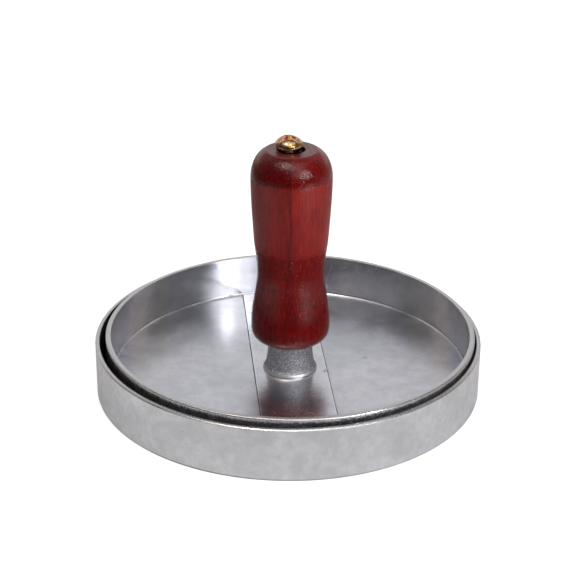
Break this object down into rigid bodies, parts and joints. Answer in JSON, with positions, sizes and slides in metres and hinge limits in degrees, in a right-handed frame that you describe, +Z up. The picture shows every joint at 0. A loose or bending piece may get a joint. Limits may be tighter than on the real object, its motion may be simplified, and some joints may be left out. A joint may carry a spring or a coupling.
{
  "type": "burger press",
  "caption": "Round burger press: a shallow cast mould and a loose round press plate with a turned wooden handle held by a screw.",
  "frame": {"origin": "centre of the mould's underside, on the surface that the press stands on", "axes": "+Z up along the mould's axis, +Y away from the picture's viewer, +X to the viewer's right"},
  "size_m": [0.12, 0.12, 0.0823],
  "materials": {
    "mould_aluminium": "satin cast aluminium outside, black non-stick coating inside",
    "press_aluminium": "buffed cast aluminium above, black non-stick coating on the rim's outside and underneath",
    "stained_wood": "turned hardwood, stained red-brown under glossy varnish",
    "zinc_plated_steel": "yellow chromated zinc plating on steel"
  },
  "bodies": {
    "mould_body": {"mould": "mould_aluminium"},
    "press_body": {"press_plate": "press_aluminium", "handle": "stained_wood", "flat_washer": "zinc_plated_steel", "spring_washer": "zinc_plated_steel", "screw": "zinc_plated_steel"}
  },
  "joints": [
    {"name": "press_lift", "type": "slide", "parent": "mould_body", "child": "press_body", "axis": [0, 0, 1], "range_m": [0, 0.05]}
  ]
}
